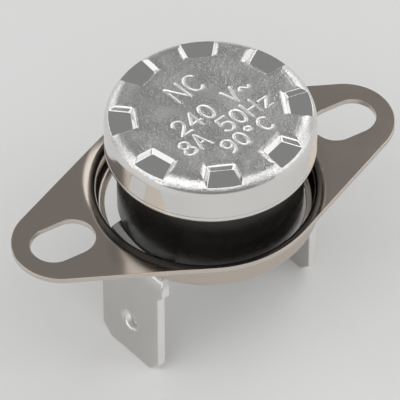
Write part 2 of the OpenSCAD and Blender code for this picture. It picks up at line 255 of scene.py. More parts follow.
@dataclass(frozen=True)
class Contour:
    """A closed edge of a sheet.

    Args:
        points: Places along the edge, the metal on their left.
        normals: Unit directions out of the metal.
    """

    points: np.ndarray
    normals: np.ndarray

    def inset(self, depth: float) -> np.ndarray:
        """The edge moved into the metal by a depth."""
        return self.points - self.normals * depth

    @staticmethod
    def of_arcs(arcs: list[tuple], step: float, hole: bool = False) -> "Contour":
        """Joins arcs that turn the same way with the straight lines that touch them.

        Args:
            arcs: Centre x and y, radius, and start and end angle in degrees, of each arc in order.
            step: Angle between points on the arcs, in degrees.
            hole: Whether the metal lies outside.

        Returns:
            The contour.
        """
        points, normals = [], []
        for x, y, radius, start, end in arcs:
            count = max(2, round(abs(end - start) / step) + 1)
            normal = polar(1.0, np.radians(np.linspace(start, end, count)))
            points.append(np.array([x, y]) + radius * normal)
            normals.append(normal)
        part = np.linspace(0.0, 1.0, SIDE_POINTS)[1:-1, None]
        sides = [a[-1] * (1 - part) + b[0] * part for a, b in zip(points, points[1:] + points[:1])]
        ends = [np.repeat(fan[-1:], len(part), axis=0) for fan in normals]
        p = np.concatenate([run for pair in zip(points, sides) for run in pair])
        n = np.concatenate([run for pair in zip(normals, ends) for run in pair])
        return Contour(p[::-1], -n[::-1]) if hole else Contour(p, n)

    @staticmethod
    def ring(x: float, y: float, radius: float, count: int) -> "Contour":
        """Makes the edge of a round hole.

        Args:
            x: Centre, along the sheet.
            y: Centre, across it.
            radius: Radius of the hole.
            count: Number of points.

        Returns:
            The contour, a circle with the metal outside.
        """
        normal = polar(1.0, full_turn(count))
        return Contour((np.array([x, y]) + radius * normal)[::-1], -normal[::-1])

    @staticmethod
    def of_corners(corners: list[tuple], step: float) -> "Contour":
        """Rounds the corners of a polygon and divides its sides.

        Args:
            corners: Place and radius of each corner, anticlockwise.
            step: Longest stretch between two points on a straight side.

        Returns:
            The contour. At a corner the normal turns evenly from one side's to the next side's.
        """
        place = np.array([c[:2] for c in corners])
        along = np.roll(place, -1, axis=0) - place
        along /= np.linalg.norm(along, axis=1, keepdims=True)
        points, normals = [], []
        for i, (_, _, radius) in enumerate(corners):
            before, after = along[i - 1], along[i]
            turn = math.atan2(before[0] * after[1] - before[1] * after[0], before @ after)
            side = math.copysign(1.0, turn)
            normal = np.array([before[1], -before[0]])
            centre = place[i] - before * radius * math.tan(abs(turn) / 2) - side * radius * normal
            count = 4 + round(abs(turn) * radius / step)
            fan = polar(1.0, math.atan2(normal[1], normal[0]) + turn * np.linspace(0.0, 1.0, count))
            arc = centre + side * radius * fan
            if points:
                gap = np.linalg.norm(arc[0] - points[-1][-1])
                part = np.linspace(0.0, 1.0, max(2, math.ceil(gap / step) + 1))[1:-1, None]
                points.append(points[-1][-1] * (1 - part) + arc[0] * part)
                normals.append(np.repeat(fan[:1], len(part), axis=0))
            points.append(arc)
            normals.append(fan)
        p, n = np.concatenate(points), np.concatenate(normals)
        kept = np.linalg.norm(p - np.roll(p, -1, axis=0), axis=1) > CLOSE
        return Contour(p[kept], n[kept])


def inside(points: np.ndarray, loops: list[np.ndarray]) -> np.ndarray:
    """Tells which points lie in the metal between closed loops.

    Args:
        points: Places to test.
        loops: Corners of each loop.

    Returns:
        True where a line from the point towards +X crosses the loops an odd number of times.
    """
    crossed = np.zeros(len(points), dtype=int)
    for loop in loops:
        a, b = loop, np.roll(loop, -1, axis=0)
        spans = (a[:, 1] > points[:, 1:]) != (b[:, 1] > points[:, 1:])
        rise = np.where(a[:, 1] == b[:, 1], 1.0, b[:, 1] - a[:, 1])
        meets = a[:, 0] + (points[:, 1:] - a[:, 1]) / rise * (b[:, 0] - a[:, 0])
        crossed += (spans & (meets > points[:, :1])).sum(axis=1)
    return crossed % 2 == 1


def lattice(length: np.ndarray, across: np.ndarray, loops: list[np.ndarray]) -> np.ndarray:
    """Places of a grid that lie in the metal.

    Args:
        length: Places along the sheet.
        across: Places across it.
        loops: Corners of each loop that bounds the metal.

    Returns:
        The places between the loops, one row of two each.
    """
    x, y = np.meshgrid(length, across)
    places = np.column_stack([x.ravel(), y.ravel()])
    return places[inside(places, loops)]


@dataclass(frozen=True)
class Sheet:
    """Flat sheet metal with rounded edges, which a mapping may fold.

    Args:
        outline: Outer edge.
        holes: Edges of the holes.
        plain: Edges that run on into other metal and stay square.
        thickness: Sheet thickness.
        edge: Radius of the rounded edges.
        fill: Extra places inside the outline, where the sheet is folded.
        flare: How much larger the radius is on the edges of the holes.
    """

    outline: Contour
    holes: tuple
    plain: tuple
    thickness: float
    edge: float
    fill: np.ndarray = field(default_factory=lambda: np.zeros((0, 2)))
    flare: float = 0.0

    def edge_rows(self, radius: float) -> np.ndarray:
        """Works out the rounding of an edge.

        Args:
            radius: Radius of the rounding.

        Returns:
            Inset and depth of each row, from the top face over a quarter circle to the underside.
        """
        bend = quarter(3)
        bow = np.column_stack([radius * (1 - np.sin(bend)), radius * (1 - np.cos(bend))])
        top = np.vstack([[[radius + SUPPORT, 0.0], [radius, 0.0]], bow, [[0.0, radius]]])
        return np.vstack([top, np.column_stack([top[::-1, 0], self.thickness - top[::-1, 1]])])

    def build(self, place: Callable[[np.ndarray], np.ndarray]) -> Surface:
        """Makes the sheet.

        Args:
            place: Maps places on the flat sheet, with the height above its top face third, into space.

        Returns:
            Both faces, divided into triangles between the edges, and the rounded edges that join them.
            The shear attribute rises from 0 on the faces to 1 over the rounding.
        """
        points, faces, flat, top, under, loops, shear = [], [], [], [], [], [], []
        start = 0
        for contour in (self.outline, *self.holes):
            count = len(contour.points)
            radius = self.edge if contour is self.outline else self.edge + self.flare
            rows = self.edge_rows(radius)
            cut = (np.minimum(rows[:, 1], self.thickness - rows[:, 1]) / radius).clip(0.0, 1.0)
            band = [np.column_stack([contour.inset(i), np.full(count, -depth)]) for i, depth in rows]
            points += band
            shear.append(np.repeat(cut, count))
            faces.append(grid_faces(len(rows), count) + start)
            flat.append(band[0][:, :2])
            loops.append(band[0][:, :2])
            top.append(start + np.arange(count))
            under.append(start + (len(rows) - 1) * count + np.arange(count))
            start += len(rows) * count
        for places in [c.points for c in self.plain] + [self.fill]:
            count = len(places)
            levels = (0.0, -self.thickness)
            points += [np.column_stack([places, np.full(count, level)]) for level in levels]
            shear.append(np.zeros(2 * count))
            flat.append(places)
            top.append(start + np.arange(count))
            under.append(start + count + np.arange(count))
            start += 2 * count
        loops += [c.points for c in self.plain]
        mosaic = self.triangles(np.concatenate(flat), loops)
        faces += [np.concatenate(top)[mosaic], np.concatenate(under)[mosaic[:, ::-1]]]
        return Surface(place(np.concatenate(points)), faces, {Skin.SHEAR.value: np.concatenate(shear)})

    @staticmethod
    def triangles(places: np.ndarray, loops: list[np.ndarray]) -> np.ndarray:
        """Divides the metal between closed loops into triangles.

        Args:
            places: All places, those of the loops first.
            loops: Corners of each loop, in the order of the places.

        Returns:
            Numbers of the places at the corners of each triangle, anticlockwise, without those of no width.
        """
        edges, start = [], 0
        for loop in loops:
            ring = np.arange(len(loop))
            edges += (start + np.column_stack([ring, np.roll(ring, -1)])).tolist()
            start += len(loop)
        spots = [Vector(p) for p in places.tolist()]
        _, _, made, first, _, _ = delaunay_2d_cdt(spots, edges, [], 0, CLOSE / 10)
        origin = np.array([numbers[0] for numbers in first])
        corners = origin[np.array(made)]
        middle = places[corners].mean(axis=1)
        corners = corners[inside(middle, loops)]
        a, b, c = (places[corners[:, i]] for i in range(3))
        area = (b[:, 0] - a[:, 0]) * (c[:, 1] - a[:, 1]) - (b[:, 1] - a[:, 1]) * (c[:, 0] - a[:, 0])
        return np.where(area[:, None] > 0, corners, corners[:, ::-1])[np.abs(area) > CLOSE]


@dataclass(frozen=True)
class BracketShape:
    """The loose bracket, with its sizes in millimetres as the solid has them.

    Args:
        dish_r: Bend radius over which the plate dips before the fold of the collar.
        dish_deg: Slope of the plate where that fold takes over, in degrees.
        mouth_r: Radius at which the meshes of the plate and the collar are joined.
        columns: Number of columns of points round the collar.
        bend_points: Number of points on each bend of its section.
        outline_step: Angle between points on the arcs of the outline, in degrees.
        slot_step: The same on the ends of the slots.
    """

    thickness: float = 0.45
    plate_top: float = 13.5
    lip_z: float = 10.85
    lip_r: float = 7.55
    collar_r: float = 8.2
    lip_fold_r: float = 0.35
    collar_fold_r: float = 0.7
    dish_r: float = 2.5
    dish_deg: float = 17.0
    mouth_r: float = 8.9
    ring_r: float = 9.0
    ear_r: float = 3.85
    slot_x: float = 12.2
    slot_w: float = 3.5
    slot_l: float = 5.0
    shift: float = 0.45
    edge: float = 0.06
    columns: int = 288
    bend_points: int = 13
    outline_step: float = 2.5
    slot_step: float = 5.0

    @property
    def flat_r(self) -> float:
        """Radius at which the plate starts to dip."""
        ease = (self.dish_r - self.collar_fold_r) * math.sin(math.radians(self.dish_deg))
        return self.collar_r + self.collar_fold_r + ease

    def drawn(self, places: np.ndarray) -> np.ndarray:
        """Dips the flat plate round the collar.

        Args:
            places: Places on the plate, with the height above its top face third.

        Returns:
            Places in space: each face drops along a circle of its own round the axis of the dip.
        """
        reach = self.flat_r - np.hypot(places[:, 0], places[:, 1])
        reach = np.clip(reach, 0.0, self.flat_r - self.mouth_r)
        share = -places[:, 2] / self.thickness
        upper, lower = self.dish_r, self.dish_r - self.thickness
        drop = [radius - np.sqrt(radius**2 - reach**2) for radius in (upper, lower)]
        height = places[:, 2] + self.plate_top - (1.0 - share) * drop[0] - share * drop[1]
        return np.column_stack([places[:, :2], height])

    def bend(self, x: float, z: float, radius: float, start: float, end: float) -> np.ndarray:
        """An arc of the section, by its centre, its radius, and its first and last angle in degrees."""
        return oval(x, z, radius, radius, start, end, self.bend_points)

    def collar(self) -> Surface:
        """Makes the drawn collar and its lip.

        Returns:
            The section, arcs joined by straight lines from the underside of the plate round to its top
            face, turned about the axis.
        """
        t, r, edge, lip_top = self.thickness, self.collar_r, self.edge, self.lip_z + self.thickness
        fold_r, dish_r, turn = self.collar_fold_r, self.dish_r, 90 + self.dish_deg
        dish_z, fold_x = self.plate_top - dish_r, r + fold_r
        fold_z = dish_z + (dish_r - fold_r) * math.cos(math.radians(self.dish_deg))
        lip_x, wall_z = r - self.lip_fold_r, lip_top + self.lip_fold_r
        wall_low, wall_high = wall_z + SUPPORT, fold_z - SUPPORT
        reach = self.mouth_r - self.flat_r
        mouth = [math.degrees(math.acos(reach / radius)) for radius in (dish_r - t, dish_r)]
        section = np.vstack([
            self.bend(self.flat_r, dish_z, dish_r - t, mouth[0], turn),
            self.bend(fold_x, fold_z, fold_r - t, turn, 180),
            [[r + t, wall_high], [r + t, wall_low]],
            self.bend(lip_x, wall_z, self.lip_fold_r + t, 0, -90),
            [[lip_x - SUPPORT, self.lip_z]],
            self.bend(self.lip_r + edge, self.lip_z + edge, edge, 270, 180),
            self.bend(self.lip_r + edge, lip_top - edge, edge, 180, 90),
            [[lip_x - SUPPORT, lip_top]],
            self.bend(lip_x, wall_z, self.lip_fold_r, -90, 0),
            [[r, wall_low], [r, wall_high]],
            self.bend(fold_x, fold_z, fold_r, 180, turn),
            self.bend(self.flat_r, dish_z, dish_r, turn, mouth[1]),
        ])
        kept = np.r_[True, np.linalg.norm(np.diff(section, axis=0), axis=1) > CLOSE]
        return revolved(section[kept], full_turn(self.columns))

    def rings(self, outline: Contour) -> np.ndarray:
        """Finds places on the plate over its dip and just beyond it.

        Args:
            outline: Outer edge of the plate.

        Returns:
            Places on circles round the collar, as far as the outline leaves room.
        """
        beyond = self.flat_r + np.array([0.06, 0.13])
        rows = np.append(np.linspace(self.mouth_r, self.flat_r, 7)[1:], beyond)
        places = polar(*np.meshgrid(rows, full_turn(self.columns))).reshape(-1, 2)
        return places[inside(places, [outline.inset(2.0 * self.edge)])]

    def build(self) -> Surface:
        """Joins the plate, its slots and the collar.

        Returns:
            The whole bracket, moved to where it lies on the switch.
        """
        lean = math.degrees(math.acos((self.ring_r - self.ear_r) / self.slot_x))
        outline = Contour.of_arcs(
            [
                (self.slot_x, 0, self.ear_r, -lean, lean),
                (0, 0, self.ring_r, lean, 180 - lean),
                (-self.slot_x, 0, self.ear_r, 180 - lean, 180 + lean),
                (0, 0, self.ring_r, 180 + lean, 360 - lean),
            ],
            self.outline_step,
        )
        run, half = (self.slot_l - self.slot_w) / 2, self.slot_w / 2
        middles = (-self.slot_x, self.slot_x)
        ends = [[(x + run, 0, half, -90, 90), (x - run, 0, half, 90, 270)] for x in middles]
        slots = tuple(Contour.of_arcs(arcs, self.slot_step, hole=True) for arcs in ends)
        mouth = Contour.ring(0, 0, self.mouth_r, self.columns)
        plate = Sheet(outline, slots, (mouth,), self.thickness, self.edge, self.rings(outline))
        made = plate.build(self.drawn).joined(self.collar()).welded()
        return Surface(made.points - np.array([self.shift, 0.0, 0.0]), made.faces, made.layers)

    def dress(self, material: bpy.types.Material) -> None:
        """Adds the bracket with its finish."""
        fit("bracket_sheet", self.build(), material, Body.BRACKET, "mounting_bracket")


@dataclass(frozen=True)
class TerminalShape:
    """A folded blade terminal, with its sizes in millimetres as the solid has them.

    Args:
        flare: How much wider the rounded mouths of the holes are than the other edges.
        corner: Radius of the corners at the end of the blade.
        flank_r: Radius where the flanks leave the round end of the foot.
        shoulder_r: Radius where the foot has widened to the blade.
        nook_r: Radius of the inner corners at the stops.
        stop_r: Radius of the outer corners of the stops.
        point_step: Longest stretch between two points on a straight side.
        rivet_points: Number of points round the rivet's hole.
        detent_points: Number of points round the detent hole.
    """

    thickness: float = 0.8
    top: float = 10.8
    face: float = 8.1
    fold_r: float = 0.7
    width: float = 6.3
    chamfer: float = 0.9
    stop_w: float = 7.3
    stop_z: float = 8.3
    stop_h: float = 1.9
    foot_x: float = 3.0722
    foot_r: float = 2.1722
    rivet_r: float = 1.05
    detent_z: float = 3.6
    detent_r: float = 0.9
    edge: float = 0.1
    flare: float = 0.12
    corner: float = 0.2
    flank_r: float = 0.3
    shoulder_r: float = 0.6
    nook_r: float = 0.25
    stop_r: float = 0.3
    point_step: float = 0.22
    rivet_points: int = 48
    detent_points: int = 64

    @property
    def fold_x(self) -> float:
        """Where the fold starts."""
        return self.face - self.thickness - self.fold_r

    @property
    def fold_z(self) -> float:
        """Height at which the fold ends and the blade starts."""
        return self.top - self.thickness - self.fold_r

    @property
    def blade_s(self) -> float:
        """Developed length at which the blade starts, along the middle of the sheet."""
        return self.fold_x + (self.fold_r + self.thickness / 2) * math.pi / 2

    def developed(self, z: float) -> float:
        """Finds a place on the flat sheet.

        Args:
            z: Height on the fold or the blade.

        Returns:
            Developed length, straight below the fold and along the arc of the sheet's middle on it.
        """
        if z <= self.fold_z:
            return self.blade_s + self.fold_z - z
        middle = self.fold_r + self.thickness / 2
        return self.blade_s - middle * math.asin((z - self.fold_z) / middle)

    def folded(self, places: np.ndarray) -> np.ndarray:
        """Folds the flat sheet down.

        Args:
            places: Developed length, place across, and height above the top face.

        Returns:
            Places in space: level up to the fold, then on an arc round the fold's axis, then straight down.
        """
        length, across, height = places.T
        outer = self.fold_r + self.thickness + height
        turn = np.clip((length - self.fold_x) / (self.fold_r + self.thickness / 2), 0.0, math.pi / 2)
        x = np.minimum(length, self.fold_x) + outer * np.sin(turn)
        z = self.fold_z + outer * np.cos(turn) - np.maximum(length - self.blade_s, 0.0)
        return np.column_stack([x, across, z])

    def build(self, turn: float) -> Surface:
        """Makes the terminal.

        Args:
            turn: Turn about the axis, in degrees.

        Returns:
            The folded sheet.
        """
        half, stop, foot = self.width / 2, self.stop_w / 2, self.foot_r
        out, stop_top, end = stop - half, self.stop_z + self.stop_h, self.developed(0.0)
        side = [
            (self.foot_x, foot, self.flank_r),
            (self.foot_x + foot / 2, half, self.shoulder_r),
            (self.developed(stop_top), half, self.nook_r),
            (self.developed(stop_top - out), stop, self.stop_r),
            (self.developed(self.stop_z + out), stop, self.stop_r),
            (self.developed(self.stop_z), half, self.nook_r),
            (end - self.chamfer, half, self.corner),
            (end, half - self.chamfer, self.corner),
        ]
        near = [(x, -y, radius) for x, y, radius in side]
        first, last = ((self.foot_x - foot, y, foot - 0.01) for y in (-foot, foot))
        outline = Contour.of_corners([first, *near, *reversed(side), last], self.point_step)
        holes = (
            Contour.ring(self.foot_x, 0, self.rivet_r, self.rivet_points),
            Contour.ring(self.developed(self.detent_z), 0, self.detent_r, self.detent_points),
        )
        fill = lattice(
            np.linspace(self.fold_x - 0.1, self.blade_s + 0.1, 19),
            np.linspace(-stop, stop, 23),
            [outline.inset(2.5 * self.edge)],
        )
        sheet = Sheet(outline, holes, (), self.thickness, self.edge, fill, self.flare)
        return sheet.build(self.folded).turned(turn)

    def dress(self, material: bpy.types.Material) -> None:
        """Adds both terminals, half a turn apart.

        Args:
            material: Their finish.
        """
        turns = {"arm": SWITCH_TURN + 180.0, "strip": SWITCH_TURN}
        for end, turn in turns.items():
            fit(f"{end}_blade", self.build(turn), material, Body.SWITCH, f"{end}_terminal")


@dataclass(frozen=True)
class ArmShape:
    """The springy contact arm, with its sizes in millimetres as the solid has them.

    Args:
        root_x: Where the arm leaves its riveted pad and starts to bend.
        bend_l: Length over which it bends.
        margin: How far the finer grid of that stretch reaches beyond it.
        arc_step: Angle between points on the round ends, in degrees.
        rivet_points: Number of points round the rivet's hole.
        stem_points: Number of points round the hole of the contact's stem.
    """

    width: float = 2.8
    rivet_x: float = -3.0722
    rivet_r: float = 1.05
    contact_x: float = 3.0722
    stem_r: float = 0.65
    tip_x: float = 4.2922
    root_x: float = -1.7222
    bend_l: float = 1.1
    edge: float = 0.04
    margin: float = 0.1
    arc_step: float = 6.0
    rivet_points: int = 48
    stem_points: int = 36

    def build(self, turn: float) -> Surface:
        """Makes the arm at the height of its solid.

        Args:
            turn: Turn about the axis, in degrees.

        Returns:
            The flat strip with round ends, divided across the stretch that bends.
        """
        low, high = (np.array(corner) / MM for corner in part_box("contact_arm"))
        half = self.width / 2
        ends = [(self.tip_x - half, 0, half, -90, 90), (self.rivet_x, 0, half, 90, 270)]
        outline = Contour.of_arcs(ends, self.arc_step)
        holes = (
            Contour.ring(self.rivet_x, 0, self.rivet_r, self.rivet_points),
            Contour.ring(self.contact_x, 0, self.stem_r, self.stem_points),
        )
        fill = lattice(
            np.linspace(self.root_x - self.margin, self.root_x + self.bend_l + self.margin, 15),
            np.linspace(-half, half, 11),
            [edge.inset(3.0 * self.edge) for edge in (outline, *holes)],
        )
        strip = Sheet(outline, holes, (), high[2] - low[2], self.edge, fill)
        return strip.build(lambda p: p + np.array([0.0, 0.0, high[2]])).turned(turn)

    def bend(self, turn: float) -> tuple[tuple, tuple]:
        """Finds the stretch that bends.

        Args:
            turn: Turn about the axis, in degrees.

        Returns:
            Its start and its end, in metres.
        """
        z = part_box("contact_arm")[1][2]
        along = math.cos(math.radians(turn)) * MM, math.sin(math.radians(turn)) * MM
        start, end = ((x * along[0], x * along[1], z) for x in (self.root_x, self.root_x + self.bend_l))
        return start, end

    def dress(self, material: bpy.types.Material) -> None:
        """Adds the flat arm in place of the contact arm's solid.

        Args:
            material: Its finish.
        """
        spring = add_object("arm_spring", self.build(SWITCH_TURN), material)
        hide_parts("contact_arm")
        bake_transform(spring)


@dataclass(frozen=True)
class Lettering:
    """Stamped generic rating, drawn with strokes.

    Args:
        lines: Text, middle x and y, and letter height of each line.
        turn: Turn of the lines, in degrees.
        half_width: Half the width of a stroke.
        depth: Depth of a stroke.
        advance: Width of a letter and the space after it, as a share of its height.
        space: That space, as a share of the height.
        burr_h: Height of the burr beside a stroke.
        burr_at: Distance of the burr from the middle of the stroke, in half widths.
        burr_w: Width of the burr, in half widths.
        blunt: Squared share of the half width over which the bottom of a stroke is rounded.
        gain: How fast the stamp attribute rises with the depth.
    """

    lines: tuple = (
        ("NC", -0.52, 2.83, 1.7),
        ("240 V~", 0.23, 0.08, 1.45),
        ("8A 50Hz", 0.2, -1.87, 1.45),
        ("90\u00b0C", 0.98, -3.62, 1.35),
    )
    turn: float = 11.0
    half_width: float = 0.125
    depth: float = 0.1
    advance: float = 0.86
    space: float = 0.24
    burr_h: float = 0.008
    burr_at: float = 1.25
    burr_w: float = 0.4
    blunt: float = 0.04
    gain: float = 2.5

    @staticmethod
    def glyphs() -> dict[str, list]:
        """Draws the letters.

        Returns:
            Points along each stroke of a letter, by letter, on a cell 0.62 wide and 1 high.
        """
        wave = np.linspace(0.0, 0.62, 17)
        five = oval(0.29, 0.32, 0.32, 0.32, 130, -150)
        return {
            "0": [oval(0.31, 0.5, 0.3, 0.5)],
            "2": [np.vstack([oval(0.31, 0.69, 0.3, 0.31, 165, -35), [[0.0, 0.0], [0.62, 0.0]]])],
            "4": [[(0.45, 0.0), (0.45, 1.0), (0.0, 0.3), (0.62, 0.3)]],
            "5": [np.vstack([[[0.57, 1.0], [0.08, 1.0], [0.04, 0.55]], five])],
            "8": [oval(0.31, 0.75, 0.24, 0.25), oval(0.31, 0.25, 0.31, 0.25)],
            "9": [oval(0.31, 0.7, 0.3, 0.3), [(0.61, 0.7), (0.58, 0.36), (0.44, 0.1), (0.2, 0.0)]],
            "V": [[(0.0, 1.0), (0.31, 0.0), (0.62, 1.0)]],
            "A": [[(0.0, 0.0), (0.31, 1.0), (0.62, 0.0)], [(0.12, 0.36), (0.5, 0.36)]],
            "H": [[(0.0, 0.0), (0.0, 1.0)], [(0.62, 0.0), (0.62, 1.0)], [(0.0, 0.5), (0.62, 0.5)]],
            "z": [[(0.06, 0.62), (0.56, 0.62), (0.06, 0.0), (0.58, 0.0)]],
            "~": [np.column_stack([wave, 0.5 + 0.13 * np.sin(wave / 0.62 * 2 * math.pi)])],
            "\u00b0": [oval(0.22, 0.84, 0.16, 0.16)],
            "C": [oval(0.36, 0.5, 0.35, 0.5, 48, 312)],
            "N": [[(0.0, 0.0), (0.0, 1.0), (0.62, 0.0), (0.62, 1.0)]],
        }

    def segments(self) -> np.ndarray:
        """Lays the strokes out on the cap.

        Returns:
            Start x and y and end x and y of every straight stretch, one row each.
        """
        cells, made = self.glyphs(), []
        c, s = math.cos(math.radians(self.turn)), math.sin(math.radians(self.turn))
        for text, x, y, height in self.lines:
            start = -(len(text) * self.advance - self.space) / 2
            for i, letter in enumerate(text):
                for stroke in cells.get(letter, []):
                    local = (np.asarray(stroke) + np.array([start + i * self.advance, -0.5])) * height
                    world = local @ np.array([[c, s], [-s, c]]) + np.array([x, y])
                    made.append(np.hstack([world[:-1], world[1:]]))
        return np.concatenate(made)

    def groove(self, places: np.ndarray) -> tuple[np.ndarray, np.ndarray]:
        """Works out the stamped relief.

        Args:
            places: Places on the cap.

        Returns:
            Height, which falls evenly from the edge of a stroke to its rounded middle and stands up
            beside it as a bell-shaped burr, and how far each place lies in a stroke, from 0 to 1.
        """
        nearest = np.full(len(places), 9.0)
        for x0, y0, x1, y1 in self.segments():
            start, along = np.array([x0, y0]), np.array([x1 - x0, y1 - y0])
            part = np.clip((places - start) @ along / (along @ along), 0.0, 1.0)
            away = np.linalg.norm(places - start - part[:, None] * along, axis=1)
            nearest = np.minimum(nearest, away)
        share = np.clip(nearest / self.half_width, 0.0, 1.0)
        beside = (nearest - self.burr_at * self.half_width) / (self.burr_w * self.half_width)
        fall = 1.0 - np.sqrt(share**2 + self.blunt * (1.0 - share**2))
        relief = self.burr_h * np.exp(-(beside**2)) - self.depth * fall
        return relief, np.clip(self.gain * fall, 0.0, 1.0)


@dataclass(frozen=True)
class CapShape:
    """The drawn cap, with its sizes in millimetres as the solid has them.

    Args:
        wall_run: Width of the steep wall of a notch, seen from above.
        lip_run: Width of the gentler lip above that wall.
        lip_depth: Depth of the lip's lower end.
        corner: Rounding of a notch's inner corners.
        crease: Rounding between the floor, the wall, the lip and the face.
        edge_crease: Rounding between a notch and the rounded edge.
        gain: How fast the polish of a notch rises with its depth.
        foot_from: Slope of the rounded edge at which it starts to be polished, in radians.
        foot_over: Slope over which that polish rises, in radians.
        seam_r: Radius at which the meshes of the shell and the face meet.
        line_z: Height of the fine line round the side.
        line_depth: Depth of that line.
        line_w: Half its width.
        face_columns: Number of columns of points on the face.
        face_rows: Number of rows of points on the face.
    """

    radius: float = 7.9
    top: float = 20.75
    foot: float = 16.9
    sheet: float = 0.4
    edge: float = 1.35
    rim: float = 0.3
    hole_r: float = 7.05
    notch_count: int = 8
    notch_turn: float = 22.0
    notch_depth: float = 0.45
    notch_reach: float = 2.05
    notch_inner_w: float = 1.75
    notch_outer_w: float = 2.85
    wall_run: float = 0.24
    lip_run: float = 0.27
    lip_depth: float = 0.11
    corner: float = 0.15
    crease: float = 0.05
    edge_crease: float = 0.03
    gain: float = 2.5
    foot_from: float = 0.95
    foot_over: float = 0.2
    seam_r: float = 5.25
    line_z: float = 17.42
    line_depth: float = 0.03
    line_w: float = 0.045
    face_columns: int = 780
    face_rows: int = 120

    @property
    def bore_r(self) -> float:
        """Inside radius of the side."""
        return self.radius - self.sheet

    def notch(self, radius: np.ndarray, angle: np.ndarray) -> np.ndarray:
        """Works out the pressed notches.

        Args:
            radius: Distances from the axis.
            angle: Angles about the axis, in radians.

        Returns:
            Height against the sensing face: the lowest of two sloping lines and the face. The floor is
            level, a wall rises steeply from it, and a lip more gently into the face.
        """
        pitch = 2.0 * math.pi / self.notch_count
        off = (angle - math.radians(self.notch_turn) + pitch / 2) % pitch - pitch / 2
        x, y = radius * np.cos(off), np.abs(radius * np.sin(off))
        x_in = self.radius - self.notch_reach
        flare = (self.notch_outer_w - self.notch_inner_w) / 2 / self.notch_reach
        beside = (y - self.notch_inner_w / 2 - flare * (x - x_in)) / math.hypot(1.0, flare)
        away = np.maximum(-soft_min(-beside, x - x_in, self.corner), 0.0)
        wall = (self.notch_depth - self.lip_depth) / self.wall_run * away - self.notch_depth
        lip = self.lip_depth / self.lip_run * (away - self.wall_run) - self.lip_depth
        return soft_min(soft_min(wall, lip, self.crease), np.zeros(wall.shape), self.crease)

    @staticmethod
    def rounded(out: np.ndarray, bend_r: float) -> np.ndarray:
        """Height of a quarter-circle edge against the flat, by the distance out from its start."""
        out = np.clip(out, 0.0, bend_r)
        return np.sqrt(bend_r**2 - out**2) - bend_r

    def columns(self) -> np.ndarray:
        """Spaces the columns of points, close together on the side walls of the notches.

        Returns:
            Angles about the axis, in radians.
        """
        near, far, half = 6.0, 14.5, 180.0 / self.notch_count
        stretches = ((0.0, near, 6), (near, far, 31), (far, half, 9))
        one_side = np.concatenate([np.linspace(*stretch)[:-1] for stretch in stretches])
        pitch = np.concatenate([-one_side[:0:-1], one_side, [half]])
        turns = np.arange(self.notch_count)[:, None] * 2.0 * half + self.notch_turn
        return np.radians(turns + pitch).ravel()

    def crown(self, angle: np.ndarray) -> tuple[np.ndarray, np.ndarray]:
        """Works out the notched edge of the sensing face.

        Args:
            angle: Angles of the columns, in radians.

        Returns:
            Points by row and column, and how polished each is, from 0 to 1. The notches and the foot of
            the edge are polished.
        """
        flat_r, wall_r = self.radius - self.edge, self.radius - self.notch_reach
        inner, outer = wall_r - 0.03, wall_r + 0.12
        rows = np.concatenate([
            np.linspace(self.seam_r, inner, 20)[:-1],
            np.linspace(inner, outer, 14)[:-1],
            np.linspace(outer, flat_r, 8),
            flat_r + self.edge * np.sin(quarter(52)),
        ])
        radius, turn = np.meshgrid(rows, angle, indexing="ij")
        dent, edge = self.notch(radius, turn), self.rounded(radius - flat_r, self.edge)
        height = np.where(edge < 0.0, soft_min(edge, dent, self.edge_crease), dent)
        slope = np.arcsin(np.clip((radius - flat_r) / self.edge, 0.0, 1.0))
        foot = smooth_step((slope - self.foot_from) / self.foot_over)
        pressed = smooth_step(-self.gain * dent / self.notch_depth) * (dent < edge)
        return polar(radius, turn, self.top + height), np.maximum(pressed, foot)

    def skirt(self, angle: np.ndarray) -> Surface:
        """Makes the side, the crimped rim and the wall inside.

        Args:
            angle: Angles of the columns, in radians.

        Returns:
            The section turned about the axis. The fine line is a bell-shaped groove.
        """
        rim_r, rim_z = self.radius - self.rim, self.foot + self.rim
        groove = self.line_z + np.array([0.09, 0.05, 0.0, -0.05, -0.09])
        above = np.linspace(self.top - self.edge, self.line_z + 0.15, 7)
        side_z = np.concatenate([above, groove, [rim_z]])
        side_r = self.radius - self.line_depth * np.exp(-(((side_z - self.line_z) / self.line_w) ** 2))
        roll, ledge = quarter(7), self.foot + self.sheet
        return revolved(np.vstack([
            np.column_stack([side_r, side_z]),
            np.column_stack([rim_r + self.rim * np.cos(roll), rim_z - self.rim * np.sin(roll)]),
            [[rim_r, self.foot], [self.hole_r + 0.05, self.foot], [self.hole_r, self.foot + 0.05]],
            [[self.hole_r, ledge], [self.bore_r, ledge]],
        ]), angle)

    def shell(self) -> Surface:
        """Joins the notched edge, the side, the crimped rim and the inside.

        Returns:
            The cap without the middle of its face, polished but for the face and the inside.
        """
        angle = self.columns()
        crown, polish = self.crown(angle)
        skirt = self.skirt(angle).points.reshape(-1, len(angle), 3)
        radius, turn = np.meshgrid(np.linspace(self.bore_r, 0.05, 14), angle, indexing="ij")
        edge = self.rounded(radius - self.radius + self.edge, self.edge - self.sheet)
        inner_z = self.top - self.sheet + np.minimum(edge, self.notch(radius, turn))
        inner = polar(radius, turn, inner_z)
        points = np.concatenate([crown, skirt, inner])
        gloss = np.concatenate([polish, np.ones(skirt.shape[:2]), np.zeros(inner.shape[:2])])
        layers = {Skin.POLISH.value: gloss.ravel(), Skin.STAMP.value: np.zeros(gloss.size)}
        return Surface(points.reshape(-1, 3), [grid_faces(len(points), len(angle))], layers)

